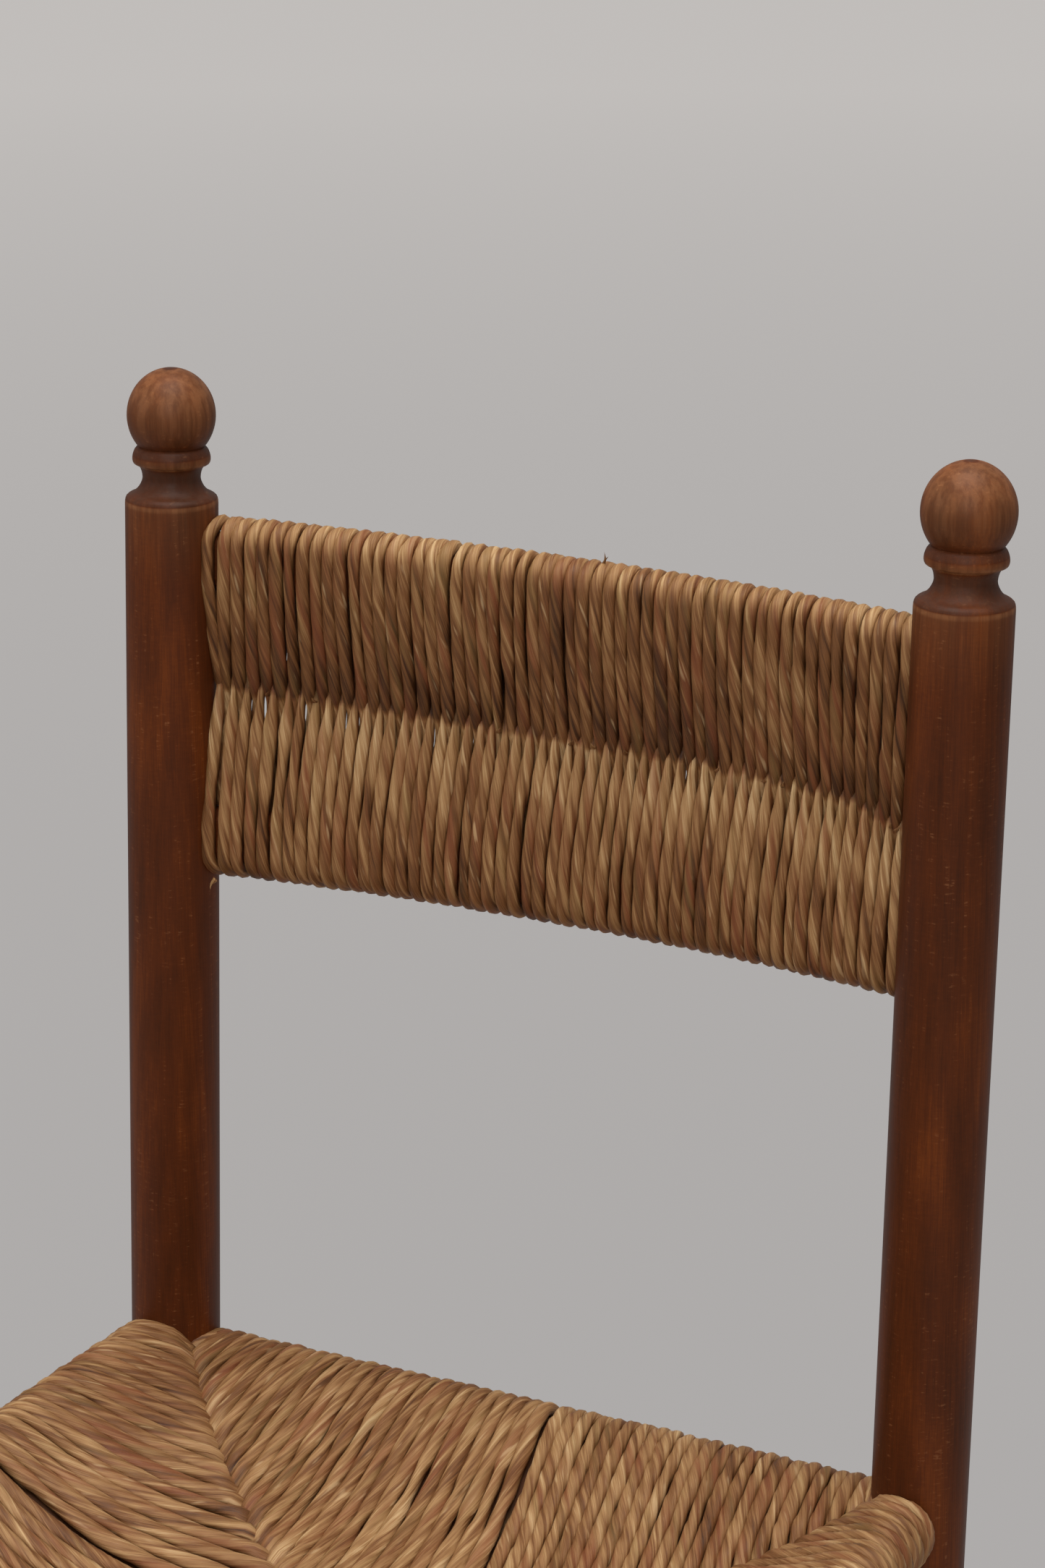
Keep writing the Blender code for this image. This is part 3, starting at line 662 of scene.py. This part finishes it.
# Where the waist of the winding lies, from the left post to the right one
waistPlaces = ((-0.16, 0.7262), (-0.13, 0.7245), (-0.05, 0.7215), (0.0, 0.7208), (0.06, 0.7203),
               (0.11, 0.7188), (0.13, 0.7172), (0.145, 0.712), (0.16, 0.708))
# Broken leaf ends: foot and tip as places on the upright back, bend and radius
slivers = (
    ((0.0160, 0.0150, 0.7935), (0.0172, 0.0140, 0.7998), (0.0008, 0.0, 0.0), 0.0008),
    ((0.0165, 0.0150, 0.7950), (0.0196, 0.0130, 0.7985), (0.0, 0.0, 0.0004), 0.0006),
    ((-0.1490, -0.0050, 0.6446), (-0.1508, -0.0065, 0.6401), (-0.0008, 0.0, 0.0), 0.0012),
)
# Stubs of leaves that stick out where the cords cross
stubs = {
    "count": 11, "footDrop": 0.0005, "sideways": (-0.001, 0.003), "out": 0.0026, "up": 0.0022,
    "bend": (0.0, -0.0006, 0.0), "radius": (0.0009, 0.0014),
}
bowRadius = (chair["halfBack"] ** 2 + panel["bow"] ** 2) / (2 * panel["bow"])


def bowDepth(x):
    return np.sqrt(bowRadius ** 2 - x ** 2) - (bowRadius - panel["bow"])


def waistHeight(x):
    return np.interp(x, *zip(*waistPlaces))


# The strand's route round both slats, on a back that is neither bowed nor raked.
# It starts and ends hidden between them. Each row is x, depth and height.
def windingPath(reach, pitch, bend):
    angles = np.linspace(math.pi, 0, panel["roundSteps"] + 1)
    shares = np.linspace(0, 1, panel["faceSteps"] + 1)[1:]
    lowerEdge = (panel["lowerSlat"] + panel["slatStraight"] + panel["slatHalfThick"]
                 + panel["endRise"])
    points = [(-reach, 0.0, lowerEdge)]
    for index in range(panel["turns"]):
        centre = -reach + pitch * index
        for slat, up in ((panel["upperSlat"], 1), (panel["lowerSlat"], -1)):
            # the strand moves sideways on its way up from the lower slat
            enterX = max(centre - pitch / 2, -reach) if up > 0 else centre
            leaveX = centre if up > 0 else min(centre + pitch / 2, reach)
            waist = waistHeight(enterX) + randomValues.uniform(-panel["waistSway"], panel["waistSway"])
            points.append((enterX, 0.0, waist))
            # it swings out fast from the waist and then runs along the slat's face
            straight = slat - up * panel["slatStraight"]
            face = [(bend * share ** panel["pinch"], waist + (straight - waist) * share, share)
                    for share in shares]
            points += [(enterX + (centre - enterX) * share, -out, height)
                       for out, height, share in face]
            for angle in angles:
                points.append((centre, bend * math.cos(angle),
                               slat + up * (panel["slatStraight"] + bend * math.sin(angle))))
            points += [(leaveX + (centre - leaveX) * share, out, height)
                       for out, height, share in face[::-1]]
    points.append((reach, 0.0, waistHeight(reach)))
    points.append((reach, 0.0, lowerEdge))
    fine, = resample(np.array(points), panel["fineStep"])
    kernel = np.hanning(2 * panel["smoothing"] + 1)
    kernel /= kernel.sum()
    for axis in range(3):
        padded = np.pad(fine[:, axis], panel["smoothing"], mode="edge")
        fine[:, axis] = np.convolve(padded, kernel, mode="valid")
    return fine


# Broken leaf ends and stubs on the finished winding
def panelSlivers(reach):
    rings = []
    for start, end, bend, radius in slivers:
        start, end = (np.array(backTurn @ Vector(spot)) for spot in (start, end))
        rings.append(sliverRings(start, end, bend, radius))
    for x in randomValues.uniform(-reach, reach, stubs["count"]):
        waist = float(waistHeight(x))
        out = float(bowDepth(x)) - panel["cordHalf"]
        foot = backTurn @ Vector((x, out, waist - stubs["footDrop"]))
        tip = backTurn @ Vector((x + randomValues.uniform(*stubs["sideways"]), out - stubs["out"],
                                 waist + stubs["up"]))
        rings.append(sliverRings(foot, tip, stubs["bend"], randomValues.uniform(*stubs["radius"])))
    return rings


def windPanel():
    bend = panel["slatHalfThick"] + panel["cordHalf"] + panel["clearance"]
    reach = chair["halfBack"] - chair["postRadius"] - panel["cordHalf"] + panel["postPress"]
    pitch = 2 * reach / (panel["turns"] - 1)
    fine = windingPath(reach, pitch, bend)
    lengths = pathLengths(fine)
    x, depth, height = fine.T
    # the end strands lie up against the round of the posts
    nearPost = np.clip((np.abs(x) - reach + panel["postRun"]) / panel["postRun"], 0, 1)
    x = x + np.sign(x) * panel["postShift"] * nearPost * (depth / bend) ** 2
    x = x + softNoise(lengths, *panel["drift"]) * (1 - nearPost)
    waist = waistHeight(x)
    rise = height - waist
    fromWaist = np.abs(rise)
    # the waist is drawn to the right of the slats' loops; spread is how far that parts
    # the strands, where 6 s (1 - s) is the slope of smoothStep
    swing = panel["swing"] * (1 - smoothStep(fromWaist / panel["swingRun"]))
    fade = panel["swingTurns"] * pitch
    ends = np.clip((reach - np.abs(x)) / fade, 0, 1)
    spread = 1 - swing * np.sign(x) * 6 * ends * (1 - ends) / fade
    x = x + swing * smoothStep(ends)
    # the strand is squeezed to a point where it comes out below the waist
    upperNeck = blend(panel["upperNeck"], panel["full"], smoothStep(rise / panel["upperNeckRun"]))
    lowerNeck = blend(panel["lowerNeck"], panel["full"], smoothStep(-rise / panel["lowerNeckRun"]))
    neck = blend(lowerNeck, upperNeck, smoothStep(rise / panel["neckRun"] + 0.5))
    halfWidth = pitch / 2 * neck * spread * (1 + softNoise(lengths, *panel["widthNoise"]))
    parting = blend(panel["parting"], panel["backParting"], smoothStep(depth / bend))
    halfWidth *= 1 - parting * partedShare(lengths, panel)
    halfThick = (panel["cordHalf"] * (1 + panel["neckThick"] - panel["neckThick"] * neck)
                 * (1 + softNoise(lengths, *panel["thickNoise"])))
    # the upper slat sits a little higher at its left end
    height = height + panel["upperTilt"] * x * smoothStep(rise / panel["tiltRun"])
    place = np.column_stack((x, depth + bowDepth(x), height))
    slope = -x / np.sqrt(bowRadius ** 2 - x ** 2)
    wide = np.column_stack((np.ones(len(x)), slope, np.zeros(len(x))))
    # painted shade: the rush is darkest just above the waist, where the strands face down into the
    # crossing, and it gets darker towards the lower edge; painted light makes it paler over the top and
    # just below the waist
    overTop = smoothStep((height - panel["upperSlat"] - panel["slatStraight"]) / panel["topRun"])
    aboutWaist = 1 - smoothStep(fromWaist / panel["waistShadeRun"])
    dustAndShade = np.where(
        height > waist,
        panel["upperShade"] + panel["waistShade"] * aboutWaist - panel["topLight"] * overTop,
        panel["edgeDarkening"] * smoothStep(fromWaist / panel["edgeDarkeningRun"]) + panel["lowerShade"])
    turned = np.array(backTurn.to_3x3())
    place = place @ turned.T + np.array(backTurn.translation)
    wide = wide @ turned.T
    place, wide, halfWidth, halfThick, dustAndShade = resample(
        place, panel["step"], wide, halfWidth, halfThick, dustAndShade)
    cords = [cordRings(place, wide, halfWidth, halfThick, dustAndShade, panel)]
    cords += panelSlivers(reach)
    return buildCords("backPanelRush", cords)


rushMaterial = makeRush("TwistedRush", rush)
backPanel = windPanel()
finishPiece(backPanel, rushMaterial, "back_rush", "back_panel_rush")
print("back panel wound")


# The seat

seat = {
    "pitch": 0.0061, "rollRadius": 0.0123, "cordHalf": 0.0027, "rushRadius": 0.015,
    "middleTop": 0.4145, "middleBottom": 0.3945, "dive": 0.0045, "diveRun": 0.008,
    "overSeam": 0.002, "postGap": 0.0005, "cornerWidth": 1.1, "widest": 0.0086,
    "wobble": 0.0004, "drift": (0.03, 0.0004), "widthNoise": (0.025, 0.08),
    "partNoise": (0.022, 1.0), "partFrom": 0.40, "partRun": 0.4, "cordSteps": (60, 20, 30),
}
# The sheet of stuffing inside each section, which shows only between parted cords; it is painted dark,
# as the shade in those gaps
stuffing = {
    "depth": 0.0034, "short": 0.0008, "steps": (16, 9, 12), "layStep": 0.008,
    "tone": -0.2, "dustAndShade": 1.2,
}


# How far in a cord runs before it meets a mitre or the middle line
def seamDistance(origin, direction, seams):
    best = 1.0
    for corner, normal in seams:
        away = direction @ normal
        if abs(away) > nearlyZero:
            distance = ((corner - origin) @ normal) / away
            if distance > 0:
                best = min(best, distance)
    return best


# One cord from the seam over the top, round the rail and back below, with
# the loop of stuffing that lies inside it
def seatCord(section, place, lean, spacing, leanStep, look):
    run, inward, seams = section["run"], section["inward"], section["seams"]
    origin = section["start"] + run * place
    share = place / section["length"]
    railHeight = section["railHeight"] + section["lift"][0] * (1 - share) + section["lift"][1] * share
    railTop, railLow = railHeight + seat["rushRadius"], railHeight - seat["rushRadius"]
    topEnd = seamDistance(origin, inward + run * lean, seams) + seat["overSeam"]
    lowEnd = seamDistance(origin, inward, seams)
    wobble = randomValues.uniform(-seat["wobble"], seat["wobble"])

    # near the seam a cord dives in among the cords of the next section
    def dishHeight(distance, end, outer, middle, dive):
        fall = 1 - np.exp(-(distance / section["reach"]) ** section["power"])
        dived = dive * smoothStep((distance - end + seat["diveRun"]) / seat["diveRun"])
        return outer + (middle - outer) * fall + dived

    # the route, set deeper by the offset, and the room that each point has sideways
    def path(offset, ends, counts):
        top = np.linspace(topEnd + ends, 0, counts[0])
        angles = np.linspace(math.pi / 2, 3 * math.pi / 2, counts[1])
        low = np.linspace(0, lowEnd + ends, counts[2])
        topSpots = origin + top[:, None] * (inward + run * lean)
        roundSpots = origin + (seat["rollRadius"] - offset) * np.cos(angles)[:, None] * inward
        lowSpots = origin + low[:, None] * inward
        topHeights = dishHeight(top, topEnd, railTop, seat["middleTop"], -seat["dive"])
        roundHeights = railHeight + (seat["rollRadius"] - offset) * np.sin(angles)
        lowHeights = dishHeight(low, lowEnd, railLow, seat["middleBottom"], seat["dive"])
        topHeights -= seat["cordHalf"] + offset
        lowHeights += seat["cordHalf"] + offset
        points = np.vstack((np.column_stack((topSpots, topHeights)),
                            np.column_stack((roundSpots, roundHeights))[1:-1],
                            np.column_stack((lowSpots, lowHeights))))
        room = np.concatenate((spacing + top * leanStep,
                               np.full(counts[1] - 2 + counts[2], spacing)))
        return points, room

    points, widths = path(-wobble, 0.0, seat["cordSteps"])
    points, widths = resample(points, look["step"], widths)
    lengths = pathLengths(points)
    points[:, :2] += run * softNoise(lengths, *seat["drift"])[:, None]
    # cords stay within their own thickness sideways, and part here and there
    widths = np.minimum(widths, seat["widest"]) * look["fill"]
    widths = widths * (1 + softNoise(lengths, *seat["widthNoise"]))
    widths *= 1 - look["parting"] * partedShare(lengths, seat)
    wide = np.tile(np.array((run[0], run[1], 0.0)), (len(points), 1))
    rings = cordRings(points, wide, widths, np.full(len(points), seat["cordHalf"]),
                      np.full(len(points), section["dustAndShade"]), look)
    loop, _ = path(stuffing["depth"], -stuffing["short"] - seat["overSeam"], stuffing["steps"])
    return rings, loop


def seatSection(section):
    start, end = np.array(section["start"][:2]), np.array(section["end"][:2])
    length = np.linalg.norm(end - start)
    run = (end - start) / length
    inward = np.array((-run[1], run[0]))
    middle = np.array((0.0, chair["middleLineY"]))
    if inward @ (middle - start) < 0:
        inward = -inward
    seams = []
    for corner in (start, end):
        seams.append((corner, np.array((np.sign(corner[1] - middle[1]), -np.sign(corner[0])))
                      / math.sqrt(2)))
    # the back and front sections run from side to side, and meet at the middle line
    if abs(run[0]) > abs(run[1]):
        seams.append((middle, np.array((0.0, 1.0))))
    section.update(start=start, end=end, length=length, run=run, inward=inward, seams=seams)
    first = chair["postRadius"] + seat["cordHalf"] + seat["postGap"]
    gapAt = length * section["gapShare"]
    beside = section["gap"] + seat["cordHalf"]
    cords, loops = [], []
    for half, (low, high) in enumerate(((first, gapAt - beside), (gapAt + beside, length - first))):
        look = section["halves"][half]
        count = max(int(round((high - low) / seat["pitch"])), 1)
        # the lean of the cords' edges, which changes mostly towards the middle of the section
        shares = np.linspace(0, 1, count + 2)
        if half == 0:
            shares = shares ** look["bend"]
        else:
            shares = 1 - (1 - shares) ** look["bend"]
        edges = blend(*look["lean"], shares)
        leans = (edges[:-1] + edges[1:]) / 2
        for place, lean, leanStep in zip(np.linspace(low, high, count + 1), leans, np.diff(edges)):
            rings, loop = seatCord(section, place, lean, (high - low) / count, leanStep, look)
            cords.append(rings)
            loops.append(loop)
    # at each post one more cord leans in to close the corner
    for place, lean in section["corners"]:
        rings, _ = seatCord(section, place if place > 0 else length + place, lean,
                            seat["pitch"] * seat["cornerWidth"], 0.0, section["halves"][0])
        cords.append(rings)
    sheet = np.array(loops)
    lay = np.zeros(sheet.shape)
    lay[..., 0] = sheet[..., :2] @ run
    lay[..., 2] = np.arange(sheet.shape[1]) * stuffing["layStep"]
    # the stuffing's low tone and strong darkening paint shade into the gaps between parted cords
    cords.append((sheet, lay, np.full(sheet.shape[:2], stuffing["tone"]),
                  np.full(sheet.shape[:2], stuffing["dustAndShade"])))
    return cords


# Lean is the sideways slant per metre inwards, at a half's start and at its end.
# The strands are twisted away from the corner: a minus sign turns the lay round.
loose = {
    "twist": 0.070, "leafStep": 0.06, "leaves": 3, "sides": 15, "step": 0.003, "dustAndShadeScale": 0.4,
    "fill": 0.515, "lean": (-0.10, 0.10), "bend": 1.0, "parting": 0.30,
}
rope = dict(loose, twist=0.042, leafStep=0.075, step=0.0024, fill=0.52, parting=0.16)
fanned = dict(loose, bend=1.5)
endLevel, sideLevel = chair["endRailHeight"], chair["sideRailHeight"]
endSection = {
    "railHeight": endLevel, "reach": 0.062, "power": 1.9, "lift": (0.0, 0.0), "dustAndShade": -0.05,
    "corners": ((0.0205, -0.50), (-0.0205, 0.50)),
}
sideSection = {
    "railHeight": sideLevel, "reach": 0.047, "power": 1.4, "lift": (0.0, 0.0), "dustAndShade": -0.05,
    "corners": (),
}
sections = (
    dict(endSection, name="seatRushBack", node="seat_rush_back",
         start=backAxis(-1, endLevel), end=backAxis(1, endLevel),
         lift=(-0.0004, 0.0032), gapShare=0.53, gap=0.0014,
         halves=(dict(loose, lean=(-0.105, 0.188), twist=-0.075), dict(rope, lean=(0.188, 0.096)))),
    dict(endSection, name="seatRushFront", node="seat_rush_front",
         start=frontAxis(-1, endLevel), end=frontAxis(1, endLevel),
         gapShare=0.49, gap=0.0008,
         halves=(loose, dict(loose, twist=-0.070))),
    dict(sideSection, name="seatRushLeft", node="seat_rush_left",
         start=backAxis(-1, sideLevel), end=frontAxis(-1, sideLevel),
         lift=(-0.0018, -0.0018), gapShare=0.42, gap=0.0021, dustAndShade=0.08,
         halves=(dict(fanned, lean=(-0.58, 0.07)), dict(fanned, lean=(0.078, 0.50), twist=-0.070))),
    dict(sideSection, name="seatRushRight", node="seat_rush_right",
         start=backAxis(1, sideLevel), end=frontAxis(1, sideLevel),
         gapShare=0.50, gap=0.0010,
         halves=(dict(fanned, lean=(-0.50, 0.0), twist=-0.055), dict(fanned, lean=(0.0, 0.50)))),
)
for section in sections:
    piece = buildCords(section["name"], seatSection(section))
    finishPiece(piece, rushMaterial, "seat_rush", section["node"])
print("seat woven")


# Studio

studio = {
    "floorSize": 60.0, "floor": "#b9b6b3", "floorRoughness": 0.9, "floorGlow": 0.8,
    "near": "#aeabaa", "nearAt": 1.0, "far": "#cfcbc8", "farAt": 7.0, "backdrop": "#c0bcb9",
    "ambient": "#f2f3f5", "ambientStrength": 0.34,
}
# Each lamp's name, place, aim, width and power
lamps = (
    ("overhead", (0.1, -0.2, 3.3), (0, 0, 0.5), 2.4, 70.0),
    ("key", (1.2, -2.6, 2.2), (0, 0, 0.6), 1.4, 26.0),
    ("fill", (-2.4, -1.6, 1.8), (0, 0, 0.5), 2.0, 10.0),
)
# The photograph's own view: a long lens, from the right and a little above
view = {
    "azimuth": 27.675, "elevation": 18.036, "place": (0.6884, -1.158283, 1.1939),
    "lens": 91.63, "sensorHeight": 36.0,
}


def mixShaders(tree, share, first, second):
    return addNode(tree, "ShaderNodeMixShader", {"Fac": share, 1: first, 2: second}).outputs[0]


def isCameraRay(tree):
    return addNode(tree, "ShaderNodeLightPath").outputs["Is Camera Ray"]


def addLamp(name, place, target, size, strength):
    lamp = bpy.data.lights.new(name, "AREA")
    lamp.shape = "DISK"
    lamp.size = size
    lamp.energy = strength
    lampObject = bpy.data.objects.new(name, lamp)
    bpy.context.scene.collection.objects.link(lampObject)
    lampObject.location = place
    lampObject.rotation_euler = (Vector(target) - Vector(place)).to_track_quat("-Z", "Y").to_euler()


bpy.ops.object.select_all(action="DESELECT")
bpy.ops.mesh.primitive_plane_add(size=studio["floorSize"], location=(0, 0, 0))
floor = bpy.context.object
floor.name = "floor"
# Matt paint on a wide floor, without shine. The camera sees it a little paler
# than the floor that lights the chair, and paler still far away.
floorMaterial, tree, shader = startMaterial("MattPaintedFloor")
shader.inputs["Base Color"].default_value = hexColour(studio["floor"])
shader.inputs["Roughness"].default_value = studio["floorRoughness"]
away = addNode(tree, "ShaderNodeVectorMath", {
    0: addNode(tree, "ShaderNodeTexCoord").outputs["Object"]}, operation="LENGTH").outputs["Value"]
paint = mixColours(tree, addRange(tree, away, studio["nearAt"], studio["farAt"]),
                   hexColour(studio["near"]), hexColour(studio["far"]))
glow = addNode(tree, "ShaderNodeEmission", {"Color": paint}).outputs[0]
glowShare = addMath(tree, "MULTIPLY", isCameraRay(tree), studio["floorGlow"])
tree.links.new(mixShaders(tree, glowShare, shader.outputs[0], glow),
               tree.nodes["Material Output"].inputs["Surface"])
floor.data.materials.append(floorMaterial)

# The world lights the chair evenly, and the camera sees it as a plain backdrop
world = bpy.data.worlds.new("studioLight")
bpy.context.scene.world = world
world.use_nodes = True
tree = world.node_tree
tree.nodes.clear()
ambient = addNode(tree, "ShaderNodeBackground", {
    "Color": hexColour(studio["ambient"]), "Strength": studio["ambientStrength"]}).outputs[0]
backdrop = addNode(tree, "ShaderNodeBackground", {
    "Color": hexColour(studio["backdrop"]), "Strength": 1.0}).outputs[0]
addNode(tree, "ShaderNodeOutputWorld", {
    "Surface": mixShaders(tree, isCameraRay(tree), ambient, backdrop)})
for lamp in lamps:
    addLamp(*lamp)

camera = bpy.data.cameras.new("photoView")
camera.sensor_fit = "VERTICAL"
camera.sensor_height = view["sensorHeight"]
camera.lens = view["lens"]
cameraObject = bpy.data.objects.new("photoView", camera)
bpy.context.scene.collection.objects.link(cameraObject)
cameraObject.location = view["place"]
cameraObject.rotation_euler = (math.radians(90 - view["elevation"]), 0, math.radians(view["azimuth"]))
bpy.context.scene.camera = cameraObject
bpy.context.scene.view_settings.view_transform = "Standard"

print("studio set")
